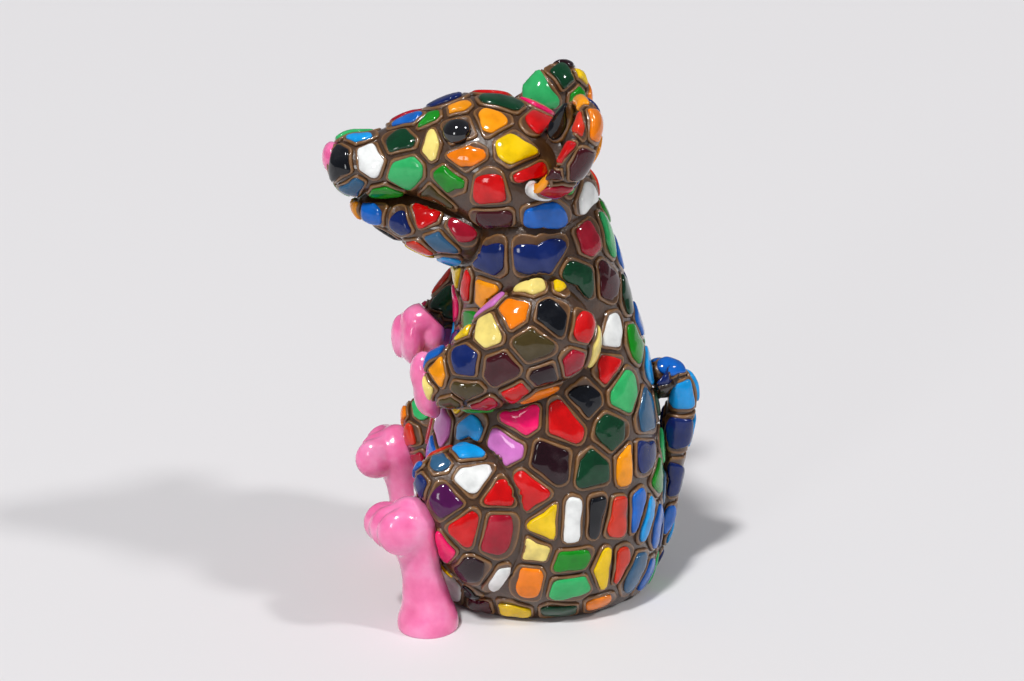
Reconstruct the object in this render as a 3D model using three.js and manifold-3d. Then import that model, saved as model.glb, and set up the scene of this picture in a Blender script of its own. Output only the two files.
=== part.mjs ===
// A seated mouse in broken-tile mosaic: a cast body with bedded enamel tiles, painted hands, feet and nose.
// Millimetres, +Z up, the mouse faces -Y and its left side is +X.
import * as THREE from 'three';
import { mergeVertices } from 'three/addons/utils/BufferGeometryUtils.js';
import Module from 'manifold-3d';

const wasm = await Module();
wasm.setup();

// ---------------------------------------------------------------- driving dimensions
const BODY_WIDTH = 40;        // across the flanks
const BODY_DEPTH = 40.4;      // belly to back
const BODY_HEIGHT = 68;       // ground to the top of the neck, inside the head
const HEAD_LENGTH = 43;       // back of the skull to the tip of the snout
const HEAD_WIDTH = 26;
const HEAD_HEIGHT = 24.4;
const HEAD_LIFT = BODY_HEIGHT + 2;  // height of the widest part of the head
const HEAD_TURN = 9;          // degrees, towards the mouse's right
const EAR_WIDTH = 15;
const EAR_HEIGHT = 17;
const EAR_DEPTH = 5.4;
const EAR_WALL = 2.2;
const ARM_THICKNESS = 18;     // up and down at the shoulder
const WRIST_THICKNESS = 9;
const LEG_THICKNESS = 27;
const FOOT_HEIGHT = 22.5;
const FOOT_WIDTH = 8.4;
const TOE_SIZE = 3.6;
const TAIL_THICKNESS = 5.4;
const EYE_SIZE = 3.8;
const NOSE_SIZE = 5.8;
const TILE_BED = 1.2;         // how far the finished skin stands over the cast body
const TILE_BEVEL = 0.3;
const TILE_JOINT = 1.4;       // open joint between neighbouring tiles
const GAP = 0.3;              // clearance between pieces that touch

const ACROSS = new THREE.Vector3(1, 0, 0);
const UP = new THREE.Vector3(0, 0, 1);
const FINE = [30, 22];          // segments around and along the large skins
const COARSE = [16, 14];        // and the small ones
const bare = -TILE_BED;       // the cast body under the tiles
const near = GAP - TILE_BED;  // the nearest that another piece comes to it

// ---------------------------------------------------------------- lofted skins
// A skin is a row of ellipses along a spine. Each station is [x, y, z, half across, half upright]; `caps`
// are the shares of the length over which the two ends close like the ends of an ellipsoid.
function skin(stations, caps, side = ACROSS) {
  const curve = (points) => new THREE.CatmullRomCurve3(points, false, 'catmullrom');
  const spine = curve(stations.map(([x, y, z]) => new THREE.Vector3(x, y, z)));
  const halves = curve(stations.map((station) => new THREE.Vector3(station[3], station[4], 0)));

  // the point at `turn` round the ellipse and share `along` of the spine, `grow` outside the skin
  return function at(turn, along, grow = 0) {
    const tangent = spine.getTangent(along);
    const level = side.clone().addScaledVector(tangent, -side.dot(tangent)).normalize();
    const upright = tangent.clone().cross(level);
    const start = Math.min(along / caps[0] - 1, 0);
    const end = Math.max(1 - (1 - along) / caps[1], 0);
    const close = Math.sqrt(Math.max(0, 1 - (start + end) ** 2));
    const half = halves.getPoint(along);
    return spine.getPoint(along)
      .addScaledVector(tangent, (start + end) * grow)
      .addScaledVector(level, (half.x + grow) * close * Math.cos(turn))
      .addScaledVector(upright, (half.y + grow) * close * Math.sin(turn));
  };
}

// A closed sphere mesh pulled onto a skin, its rings crowded towards the two ends.
function skinSolid(at, grow, [around, rings]) {
  const sphere = new THREE.SphereGeometry(1, around, rings);
  const points = sphere.getAttribute('position');
  const point = new THREE.Vector3();
  for (let i = 0; i < points.count; i += 1) {
    point.fromBufferAttribute(points, i);
    const along = (1 - THREE.MathUtils.clamp(point.y, -1, 1)) / 2;
    const pulled = at(Math.atan2(point.z, point.x), along, grow);
    points.setXYZ(i, pulled.x, pulled.y, pulled.z);
  }
  return solid(sphere);
}

// ---------------------------------------------------------------- solids and booleans
function solid(geometry) {
  const bare = geometry.clone();
  bare.deleteAttribute('normal');
  bare.deleteAttribute('uv');
  const welded = mergeVertices(bare, 1e-4);
  const mesh = (flip) => new wasm.Mesh({
    numProp: 3,
    vertProperties: Float32Array.from(welded.getAttribute('position').array),
    triVerts: flip ? reversed(welded.index.array) : Uint32Array.from(welded.index.array),
  });
  const made = new wasm.Manifold(mesh(false));
  return made.volume() > 0 ? made : new wasm.Manifold(mesh(true));
}

function reversed(index) {
  const turned = Uint32Array.from(index);
  for (let i = 0; i < turned.length; i += 3) {
    [turned[i + 1], turned[i + 2]] = [turned[i + 2], turned[i + 1]];
  }
  return turned;
}

// What is left of a piece once its neighbours are cut away: the largest body only.
function cut(piece, ...tools) {
  const rest = tools.reduce((left, tool) => left.subtract(tool), piece);
  return rest.decompose().sort((one, other) => other.volume() - one.volume())[0];
}

function aboveGround(piece) {
  return piece.trimByPlane([0, 0, 1], 0);
}

function placed(geometry, matrix) {
  return solid(geometry.clone().applyMatrix4(matrix));
}

function ball(centre, radii) {
  const matrix = new THREE.Matrix4().makeTranslation(...centre).scale(new THREE.Vector3(...radii));
  return placed(new THREE.SphereGeometry(1, 12, 8), matrix);
}

// ---------------------------------------------------------------- the shape of each part
// torso: [height share, middle towards the back, half depth share, half width share]
const TORSO_RINGS = [
  [-0.09, 3.2, 0.74, 0.64], [0.0, 3.4, 0.9, 0.78], [0.09, 3.8, 0.985, 0.96], [0.21, 4.2, 1.0, 1.0],
  [0.34, 4.6, 0.97, 0.98], [0.46, 4.9, 0.9, 0.9], [0.59, 4.9, 0.8, 0.79], [0.71, 4.0, 0.71, 0.71],
  [0.82, 2.8, 0.66, 0.69], [0.92, 1.8, 0.6, 0.64], [1.0, 1.0, 0.45, 0.48],
];
const torsoAt = skin(TORSO_RINGS.map(([up, back, deep, wide]) => [
  0, back, up * BODY_HEIGHT, wide * BODY_WIDTH / 2, deep * BODY_DEPTH / 2]), [0.08, 0.06]);

// the head and all that rides on it are drawn looking straight ahead, then turned on the neck
const NECK = new THREE.Vector3(0, 3, 0);
const onHead = (point) => point.sub(NECK).applyAxisAngle(UP, -THREE.MathUtils.degToRad(HEAD_TURN)).add(NECK);
const turned = (at) => (turn, along, grow) => onHead(at(turn, along, grow));

// head: [share of the length from the back, lift, half width share, half height share]
const HEAD_RINGS = [
  [0.0, -4.4, 0.8, 0.68], [0.15, -4.0, 0.96, 0.72], [0.32, -0.4, 1.0, 0.95], [0.49, 2.0, 0.87, 0.88],
  [0.66, 2.2, 0.66, 0.6], [0.82, 1.1, 0.52, 0.45], [1.0, 1.0, 0.42, 0.42],
];
const SKULL_BACK = 13;
const headAt = turned(skin(HEAD_RINGS.map(([forward, lift, wide, high]) => [
  0, SKULL_BACK - forward * HEAD_LENGTH, HEAD_LIFT + lift,
  wide * HEAD_WIDTH / 2, high * HEAD_HEIGHT / 2]), [0.22, 0.1]));

const jawAt = turned(skin([
  [0, -1, HEAD_LIFT - 9, 10, 6.6], [0, -8, HEAD_LIFT - 8.2, 10.4, 6.8], [0, -15, HEAD_LIFT - 7, 8.8, 5.6],
  [0, -21, HEAD_LIFT - 6, 5.6, 3.4], [0, -26, HEAD_LIFT - 5, 3.4, 2.1]], [0.2, 0.14]));

// arms, legs, feet and hands are drawn on the left (+X) and mirrored by `hand` = -1; how far out each station
// lies is a share of the body's width, how high one on the arm lies is a share of its height
const limb = (hand, stations, caps) => skin(
  stations.map(([out, back, up, wide, high]) => [hand * out * BODY_WIDTH, back, up, wide, high]), caps);
const raised = (up) => up * BODY_HEIGHT;
const armAt = (hand) => limb(hand, [
  [0.225, 8.5, raised(0.759), 6, ARM_THICKNESS * 0.4], [0.305, 4.5, raised(0.7235), 6.8, ARM_THICKNESS * 0.5],
  [0.345, -1, raised(0.6795), 6.6, ARM_THICKNESS * 0.49], [0.325, -7, raised(0.6265), 5.6, ARM_THICKNESS * 0.4],
  [0.275, -11.5, raised(0.597), 4.8, WRIST_THICKNESS * 0.6],
  [0.225, -15, raised(0.5825), 4, WRIST_THICKNESS * 0.5]],
[0.2, 0.1]);

// the hands hang from the wrists, the left one lower and nearer the belly than the right
const HAND_PLACE = { 1: [-13.2, raised(0.553)], '-1': [-14.6, raised(0.603)] };
function handAt(hand) {
  const [y, z] = HAND_PLACE[hand];
  return limb(hand, [
    [0.185, y + 1, z + 4.4, 3, 2.4], [0.18, y - 1.2, z + 2, 3.6, 2.6],
    [0.175, y - 1.8, z - 1.6, 3.4, 2], [0.175, y - 0.4, z - 5, 2.6, 1.5]], [0.3, 0.3]);
}

const legAt = (hand) => limb(hand, [
  [0.175, 4, 15, 9, LEG_THICKNESS * 0.5], [0.265, -4, 16.5, 9, LEG_THICKNESS * 0.53],
  [0.32, -11, 17, 7.4, LEG_THICKNESS * 0.47], [0.35, -16.4, 15.6, 5, LEG_THICKNESS * 0.37]],
[0.3, 0.2]);

// foot: [forward, share of its height, half width share, half depth], a flared sole under a narrow ankle
const FOOT_OUT = 0.37;
const FOOT_RINGS = [
  [-16.1, -0.2, 0.5, 4.2], [-16.1, 0.04, 0.55, 4.9], [-16.3, 0.2, 0.47, 4], [-17, 0.42, 0.4, 3.2],
  [-17.6, 0.6, 0.42, 3.5], [-18.6, 0.82, 0.5, 4.3], [-18.9, 1, 0.42, 3.6],
];
const footAt = (hand) => limb(hand, FOOT_RINGS.map(([y, up, wide, deep]) => [
  FOOT_OUT, y, up * FOOT_HEIGHT, wide * FOOT_WIDTH, deep]), [0.16, 0.2]);

// the toes step forward from the outer one to the inner one
const TOES = [[2.7, -20.2, 0.79, 1.04], [0.2, -21.4, 0.78, 1.0], [-2.1, -22.4, 0.775, 0.95]];
const toes = (hand) => TOES.map(([out, y, up, size]) => ball(
  [hand * (FOOT_OUT * BODY_WIDTH + out), y, up * FOOT_HEIGHT],
  [TOE_SIZE * size * 0.7, TOE_SIZE * size, TOE_SIZE * size]));

// tail: [towards the back, height, thickness share]
const TAIL_RINGS = [
  [17, -2, 1.15], [21.4, 3.5, 1.12], [24, 10, 1.02], [25.2, 18, 0.96], [26.4, 26, 1.06], [26.8, 32.5, 1.1],
  [24, 35.6, 1.0], [21.4, 33.4, 0.9],
];
const tailAt = skin(TAIL_RINGS.map(([back, up, thick]) => [
  0, back, up, thick * TAIL_THICKNESS / 2, thick * TAIL_THICKNESS / 2]), [0.1, 0.12]);

// ears: a shallow cup turned about its own axis, wider one way; the left one faces forwards, the right outwards
const EARS = {
  left: { middle: [13, 6.6, HEAD_LIFT + 7.4], turn: 80, tip: 30 },
  right: { middle: [-13, 4.4, HEAD_LIFT + 6.8], turn: 44, tip: 24 },
};

// with `grow` it is the filled space that other pieces leave free for it
function earSolid(hand, { middle, turn, tip }, grow = 0) {
  const rim = EAR_WALL / 2 + grow;
  const depth = EAR_DEPTH + grow;
  const floor = EAR_WALL - EAR_DEPTH;
  const profile = new THREE.Path();
  profile.moveTo(0, -depth);
  profile.bezierCurveTo(0.75, -depth, 1, -depth * 0.5, 1, 0);
  profile.quadraticCurveTo(1, rim, 0.86, rim);
  if (grow > 0) {
    profile.lineTo(0, rim);
  } else {
    profile.quadraticCurveTo(0.76, rim, 0.74, 0);
    profile.bezierCurveTo(0.66, floor * 0.8, 0.4, floor, 0, floor);
  }
  const cup = new THREE.LatheGeometry(profile.getPoints(3), 20);
  const middleTurned = onHead(new THREE.Vector3(...middle));
  const matrix = new THREE.Matrix4().makeTranslation(middleTurned)
    .multiply(new THREE.Matrix4().makeRotationZ(-THREE.MathUtils.degToRad(HEAD_TURN)))
    .multiply(new THREE.Matrix4().makeRotationX(-THREE.MathUtils.degToRad(tip)))
    .multiply(new THREE.Matrix4().makeRotationZ(-hand * THREE.MathUtils.degToRad(turn)))
    .multiply(new THREE.Matrix4().makeRotationZ(-hand * Math.PI / 2))
    .scale(new THREE.Vector3(EAR_WIDTH / 2 + grow, 1, EAR_HEIGHT / 2 + grow));
  return placed(cup, matrix);
}

// ---------------------------------------------------------------- mosaic tiles
// A tile is [colour, turn in degrees, share along the skin, half across, half along]; it reaches as far as
// its halves allow and stops half a joint short of the line to each neighbour.
const TORSO_TILES = [
  ['navy', -40, 0.86, 3.4, 2.6], ['navy', -2, 0.855, 3.8, 2.6], ['crimson', 40, 0.87, 2.4, 3.6],
  ['maroon', 47, 0.77, 2.6, 3.2], ['red', 27, 0.7, 2, 3.4], ['white', 39, 0.67, 2.4, 3.4],
  ['green', 61, 0.63, 2.4, 3.4], ['red', 30, 0.61, 2.4, 3.2], ['leaf', 39, 0.57, 3, 3.4],
  ['black', 13, 0.57, 3, 2.6], ['rose', -22, 0.54, 3.4, 2.8], ['red', 1, 0.54, 3.4, 3.2],
  ['forest', 27, 0.51, 3, 3.4], ['forest', 15, 0.46, 3, 3.4], ['amber', 34, 0.46, 1.7, 4],
  ['plum', -6, 0.47, 3.4, 3.4], ['mauve', -29, 0.48, 3.4, 3], ['red', -20, 0.41, 3.4, 3],
  ['yellow', -6, 0.36, 2.8, 3.2], ['white', 5, 0.36, 1.9, 4.6], ['black', 17, 0.36, 2.2, 4.4],
  ['coral', 29, 0.35, 2.4, 3.8], ['cream', -12, 0.3, 3.4, 2.2], ['green', 6, 0.28, 3.2, 2.4],
  ['leaf', 7, 0.22, 3.4, 2.6], ['yellow', 22, 0.25, 1.9, 4], ['white', -24, 0.23, 2, 2.8],
  ['orange', -12, 0.23, 2.4, 3],
];
const HEAD_TILES = [
  ['white', 24, 0.83, 2.6, 2.6], ['forest', 41, 0.7, 2.2, 2.6], ['leaf', -4, 0.69, 3, 2.8],
  ['orange', 19, 0.5, 2.2, 3.2], ['yellow', 34, 0.37, 2.4, 3.6], ['red', -2, 0.4, 2.6, 3.4],
  ['maroon', -24, 0.34, 2.4, 3], ['blue', -10, 0.2, 3, 3.2],
];
const ARM_TILES = [
  ['orange', 52, 0.36, 2.8, 2.2], ['cream', 55, 0.47, 3, 2.6], ['black', 24, 0.27, 3, 2.6],
  ['olive', 14, 0.36, 2.8, 2.4], ['navy', 34, 0.61, 2.8, 2.6], ['maroon', 8, 0.5, 2.6, 3],
];

// the part of `outline` on the near side of the line through `middle` square to it
function clip(outline, middle) {
  const limit = middle.lengthSq();
  const kept = [];
  outline.forEach((point, i) => {
    const next = outline[(i + 1) % outline.length];
    const here = point.dot(middle) - limit;
    const there = next.dot(middle) - limit;
    if (here <= 0) kept.push(point);
    if (here * there < 0) kept.push(point.clone().lerp(next, here / (here - there)));
  });
  return kept;
}

function tileOutline(tile, tiles, at) {
  const [, turn, along, wide, long] = tile;
  const around = THREE.MathUtils.degToRad(turn);
  const step = 0.01;
  const centre = at(around, along);
  const scale = new THREE.Vector2(
    at(around + step, along).distanceTo(centre) / step, at(around, along + step).distanceTo(centre) / step);
  const corners = new THREE.EllipseCurve(0, 0, wide * 1.1, long * 1.1).getPoints(12).slice(0, 12);
  const outline = tiles.filter((other) => other !== tile).reduce((left, [, turn2, along2]) => {
    const away = new THREE.Vector2(THREE.MathUtils.degToRad(turn2 - turn), along2 - along).multiply(scale);
    return clip(left, away.multiplyScalar(0.5 - TILE_JOINT / 2 / away.length()));
  }, corners);
  return outline.map((point) => point.divide(scale).add(new THREE.Vector2(around, along)));
}

function tileSolid(tile, tiles, at) {
  const outline = tileOutline(tile, tiles, at);
  const middle = new THREE.Vector2(THREE.MathUtils.degToRad(tile[1]), tile[2]);
  const ring = (share, grow) => outline.map((point) => {
    const place = point.clone().sub(middle).multiplyScalar(share).add(middle);
    return at(place.x, place.y, grow);
  });
  const rounds = [[1, near], [1, -TILE_BEVEL], [0.85, 0]].map((round) => ring(...round));
  const points = [at(middle.x, middle.y, near), ...rounds.flat(), at(middle.x, middle.y, 0)];
  const count = outline.length;
  const faces = [];
  for (let i = 0; i < count; i += 1) {
    const j = (i + 1) % count;
    faces.push(0, 1 + j, 1 + i, points.length - 1, 1 + 2 * count + i, 1 + 2 * count + j);
    for (let level = 0; level < 2; level += 1) {
      const low = 1 + level * count;
      faces.push(low + i, low + j, low + count + j, low + i, low + count + j, low + count + i);
    }
  }
  const geometry = new THREE.BufferGeometry().setFromPoints(points);
  geometry.setIndex(faces);
  return solid(geometry);
}

// ---------------------------------------------------------------- assembly
const COLOURS = {
  brown: 0x6b4626, pink: 0xf06fa8, jet: 0x0c0c10, navy: 0x0f2c66, blue: 0x1279c4, crimson: 0xb3182e,
  maroon: 0x52121d, red: 0xd01010, white: 0xf2f2ee, green: 0x178a24, leaf: 0x4cba78, black: 0x11161f,
  rose: 0xee1f66, forest: 0x0b4a2c, amber: 0xf79a10, plum: 0x2f1020, mauve: 0xd07ac4, yellow: 0xf5cf10,
  coral: 0xd8402c, cream: 0xf5e08a, orange: 0xf28a12, olive: 0x4d4218,
};
const group = new THREE.Group();

function add(name, piece, colour, roughness) {
  const made = piece.getMesh();
  const geometry = new THREE.BufferGeometry();
  geometry.setAttribute('position', new THREE.BufferAttribute(made.vertProperties, 3));
  geometry.setIndex(new THREE.BufferAttribute(made.triVerts, 1));
  const material = new THREE.MeshStandardMaterial({ color: COLOURS[colour], roughness, metalness: 0 });
  const mesh = new THREE.Mesh(geometry, material);
  mesh.name = name;
  group.add(mesh);
}

const headRoom = skinSolid(headAt, near, FINE);
const torsoRoom = skinSolid(torsoAt, near, FINE);
const jawRoom = skinSolid(jawAt, near, COARSE);
const armRooms = [1, -1].map((hand) => skinSolid(armAt(hand), near, COARSE));
const legRooms = [1, -1].map((hand) => skinSolid(legAt(hand), near, COARSE));

function eye(hand, size) {
  return ball(headAt(Math.PI / 2 - hand * THREE.MathUtils.degToRad(50), 0.53, -EYE_SIZE * 0.24).toArray(),
    [size / 2, size / 2, size / 2]);
}

add('torso', cut(aboveGround(skinSolid(torsoAt, bare, FINE)), headRoom), 'brown', 0.3);
add('head', cut(skinSolid(headAt, bare, FINE), eye(1, EYE_SIZE + 2 * GAP), eye(-1, EYE_SIZE + 2 * GAP)),
  'brown', 0.3);
add('lower_jaw', cut(skinSolid(jawAt, bare, COARSE), headRoom, torsoRoom), 'brown', 0.3);
const snoutTip = onHead(new THREE.Vector3(0, SKULL_BACK - HEAD_LENGTH + 1.2, HEAD_LIFT + 1.6));
add('nose', cut(ball(snoutTip.toArray(), [NOSE_SIZE / 2, 1.8, NOSE_SIZE / 2]), headRoom), 'pink', 0.25);
['left', 'right'].forEach((name, i) => {
  const hand = 1 - 2 * i;
  const foot = wasm.Manifold.union([skinSolid(footAt(hand), 0, COARSE), ...toes(hand)]);
  add(`${name}_eye`, eye(hand, EYE_SIZE), 'jet', 0.05);
  add(`${name}_ear`, cut(earSolid(hand, EARS[name]), headRoom, torsoRoom), 'brown', 0.3);
  add(`${name}_arm`, cut(skinSolid(armAt(hand), bare, COARSE), torsoRoom, headRoom), 'brown', 0.3);
  add(`${name}_hand`, cut(skinSolid(handAt(hand), 0, COARSE), armRooms[i], torsoRoom), 'pink', 0.25);
  add(`${name}_leg`, cut(aboveGround(skinSolid(legAt(hand), bare, COARSE)), torsoRoom), 'brown', 0.3);
  add(`${name}_foot`, cut(aboveGround(foot), legRooms[i], torsoRoom), 'pink', 0.25);
});
add('tail', cut(aboveGround(skinSolid(tailAt, bare / 2, COARSE)), torsoRoom), 'brown', 0.3);

function addTiles(name, tiles, at, ...rooms) {
  tiles.forEach((tile, i) => {
    const place = String(i + 1).padStart(2, '0');
    add(`${name}_tile_${place}_${tile[0]}`, cut(tileSolid(tile, tiles, at), ...rooms), tile[0], 0.08);
  });
}

const earRoom = earSolid(1, EARS.left, GAP);
const tiledHeadRoom = skinSolid(headAt, GAP, FINE);
addTiles('torso', TORSO_TILES, torsoAt, tiledHeadRoom, jawRoom, armRooms[0], legRooms[0], earRoom);
addTiles('head', HEAD_TILES, headAt, torsoRoom, eye(1, EYE_SIZE + 2 * GAP), earRoom);
addTiles('arm', ARM_TILES, armAt(1), torsoRoom);

// the origin is the middle of the footprint of the whole figure, on the ground
const box = new THREE.Box3().setFromObject(group);
const middle = box.getCenter(new THREE.Vector3());
group.position.set(-middle.x, -middle.y, -box.min.z);

export default group;
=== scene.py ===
"""A seated mouse in broken-tile mosaic.

Each part of the cast body is a lofted skin. Its plaster is one cushion with a rim for every tile, and the
enamel tiles lie on the cushions. The paws and nose are painted and the eyes are black glass. Millimetres until the
meshes are made, +Z up, the mouse faces -Y and its left side is +X.
"""
import math
import bpy
import numpy as np
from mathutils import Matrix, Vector


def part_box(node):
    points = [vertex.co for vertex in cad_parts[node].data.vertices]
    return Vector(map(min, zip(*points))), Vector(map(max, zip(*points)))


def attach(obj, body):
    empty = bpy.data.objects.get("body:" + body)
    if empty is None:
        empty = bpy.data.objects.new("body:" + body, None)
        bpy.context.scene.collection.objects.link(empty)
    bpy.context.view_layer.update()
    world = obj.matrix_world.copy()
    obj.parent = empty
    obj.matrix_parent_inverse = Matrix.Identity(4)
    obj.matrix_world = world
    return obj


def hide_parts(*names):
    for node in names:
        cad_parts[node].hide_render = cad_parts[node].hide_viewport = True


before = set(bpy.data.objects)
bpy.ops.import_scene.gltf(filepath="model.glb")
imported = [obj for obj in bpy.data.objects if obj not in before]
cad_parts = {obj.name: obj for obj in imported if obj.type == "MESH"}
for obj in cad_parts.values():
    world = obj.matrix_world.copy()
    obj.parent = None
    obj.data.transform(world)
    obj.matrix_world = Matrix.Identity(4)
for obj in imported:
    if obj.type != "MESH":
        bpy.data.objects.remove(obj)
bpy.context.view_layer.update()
MM = 0.001
RNG = np.random.default_rng(7)

# ---------------------------------------------------------------- sizes, in millimetres
BODY_WIDTH, BODY_DEPTH, BODY_HEIGHT = 40.0, 40.4, 68.0
HEAD_LENGTH, HEAD_WIDTH, HEAD_HEIGHT, HEAD_LIFT, HEAD_TURN = 43.0, 26.0, 24.4, 70.0, 9.0
EAR_WIDTH, EAR_HEIGHT, EAR_DEPTH, EAR_WALL = 15.0, 17.0, 5.4, 2.2
EARS = {1: ((13, 6.6, 77.4), 80, 30), -1: ((-13, 4.4, 76.8), 44, 24)}     # middle, turn and tip of each ear
ARM, WRIST, LEG = 18.0, 9.0, 27.0
FOOT_HEIGHT, FOOT_WIDTH, FOOT_SIDE, TOE = 22.5, 8.4, 14.8, 3.6
TAIL = 5.4
EYE, EYE_SINK = 3.8, 0.24                     # across the glass ball, and how much of that its middle is sunk
EYE_HALF = (2.15, 2.35, 1.9)                  # round the head, along it and outwards
EYE_TURN, EYE_ALONG = 50.0, 0.53              # degrees from the top of the head, and share of its length
NOSE_HALF, NOSE_LIFT, NOSE_BACK = (2.6, 1.6, 2.5), 2.0, 1.2
CORE = -0.8           # the plaster between the cushions, under the finished skin
CREST = -0.34         # top of a cushion's rim
GROOVE = 0.16         # half of the open groove between two cushions
RIM = 0.52            # from a cushion's edge to the enamel
NECK = np.array([0.0, 3.0, 0.0])              # the upright line on which the head is turned
SKULL_BACK = 13.0
SPOKES, STEPS = 40, 12
ANGLE = np.arange(SPOKES) * 2 * np.pi / SPOKES


def unit(v):
    """Each vector divided by its own length."""
    return v / np.maximum(np.linalg.norm(v, axis=-1, keepdims=True), 1e-9)


def spline(points, share):
    """Catmull-Rom curve through the rows of points: a cubic between each two, with half the chord of its
    neighbours as slope; share 0 to 1 runs over the whole row."""
    p = np.asarray(points, float)
    ext = np.vstack([2 * p[0] - p[1], p, 2 * p[-1] - p[-2]])
    x = np.clip(share, 0, 1) * (len(p) - 1)
    i = np.clip(np.floor(x).astype(int), 0, len(p) - 2)
    w = (x - i)[..., None]
    a, b, c, d = (ext[i + k] for k in range(4))
    s, e = 0.5 * (c - a), 0.5 * (d - b)
    return b + s * w + (3 * (c - b) - 2 * s - e) * w ** 2 + (2 * (b - c) + s + e) * w ** 3


def turned(points, degrees, about=NECK):
    """Points turned about the upright line through `about`."""
    a = math.radians(degrees)
    c, s = math.cos(a), math.sin(a)
    return (points - about) @ np.array([[c, -s, 0], [s, c, 0], [0, 0, 1]]).T + about


class Skin:
    """A loft of ellipses on a spine: spine point, plus half across times cos(turn) sideways, plus half
    upright times sin(turn) upwards, both shrunk by a half circle near the two ends."""

    def __init__(self, stations, caps, head=False, reach=0.8, grid=(120, 110)):
        self.stations, self.caps, self.head = np.array(stations, float), caps, head
        self.reach, self.grid = reach, grid

    def place(self, points):
        return turned(points, -HEAD_TURN) if self.head else points

    def axes(self, along):
        spine = self.stations[:, :3]
        ahead = unit(spline(spine, np.minimum(along + 1e-4, 1)) - spline(spine, np.maximum(along - 1e-4, 0)))
        level = unit(np.array([1.0, 0, 0]) - ahead[..., :1] * ahead)
        return spline(spine, along), ahead, level, np.cross(ahead, level)

    def at(self, turn, along, grow=0.0):
        turn, along, grow = np.broadcast_arrays(*(np.asarray(v, float) for v in (turn, along, grow)))
        centre, ahead, level, up = self.axes(along)
        end = np.minimum(along / self.caps[0] - 1, 0) + np.maximum(1 - (1 - along) / self.caps[1], 0)
        close = np.sqrt(np.maximum(0, 1 - end ** 2))
        half = spline(self.stations[:, 3:5], along)
        point = centre + ahead * (end * grow)[..., None]
        point = point + level * ((half[..., 0] + grow) * close * np.cos(turn))[..., None]
        point = point + up * ((half[..., 1] + grow) * close * np.sin(turn))[..., None]
        return self.place(point)

    def spread(self):
        """Points over the whole skin with their outward normals and the direction in which turn grows."""
        around, rings = self.grid
        turn = np.linspace(-np.pi, np.pi, around, endpoint=False)[:, None]
        along = ((1 - np.cos(np.linspace(0.02, 1, rings, endpoint=False) * np.pi)) / 2)[None, :]
        grid = self.at(turn, along)
        across = self.at(turn + 0.01, along) - self.at(turn - 0.01, along)
        onward = np.gradient(grid, axis=1)
        square = np.cross(across, onward)
        if ((grid - grid.mean((0, 1))) * square).sum() < 0:
            square = -square
        self.points, self.normals = grid.reshape(-1, 3), unit(square).reshape(-1, 3)
        self.across = unit(across).reshape(-1, 3)
        return self

    def near(self, spot, within):
        return np.linalg.norm(self.points - spot, axis=1) < within


class Lobed(Skin):
    """A loft with round lobes melted in: on each ray out of the spine, the skin is the outermost place where
    the soft least of the distances to the loft and to the lobes is nought."""

    def __init__(self, stations, caps, lobes, melt=0.5, **more):
        super().__init__(stations, caps, **more)
        self.lobes, self.melt = lobes, melt

    def at(self, turn, along, grow=0.0):
        shell = super().at(turn, along, grow)
        centre = np.broadcast_to(self.place(self.axes(np.asarray(along, float))[0]), shell.shape)
        far = np.linalg.norm(shell - centre, axis=-1)
        rim = super().at(turn, np.clip(along, 0.02, 0.98), 0)
        ray = unit(rim - self.place(self.axes(np.clip(np.asarray(along, float), 0.02, 0.98))[0]))
        steps = np.linspace(0, 1, 90) * 12.0
        spots = centre[..., None, :] + ray[..., None, :] * steps[:, None]
        total = np.exp(-(steps - far[..., None]) / self.melt)
        for middle, radii in self.lobes:
            radii = np.array(radii, float)
            away = np.linalg.norm((spots - np.array(middle)) / radii, axis=-1) - 1
            total = total + np.exp(-away * radii.min() / self.melt)
        depth = -self.melt * np.log(total)
        inside = depth < 0
        last = np.clip(inside.shape[-1] - 1 - np.argmax(inside[..., ::-1], axis=-1), 0, len(steps) - 2)
        low = np.take_along_axis(depth, last[..., None], -1)[..., 0]
        high = np.take_along_axis(depth, last[..., None] + 1, -1)[..., 0]
        share = np.clip(-low / np.maximum(high - low, 1e-6), 0, 1)
        length = np.where(inside.any(-1), (last + share) * (steps[1] - steps[0]), far)
        return centre + ray * np.maximum(length, far * (np.abs(far) > 0))[..., None]


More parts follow.
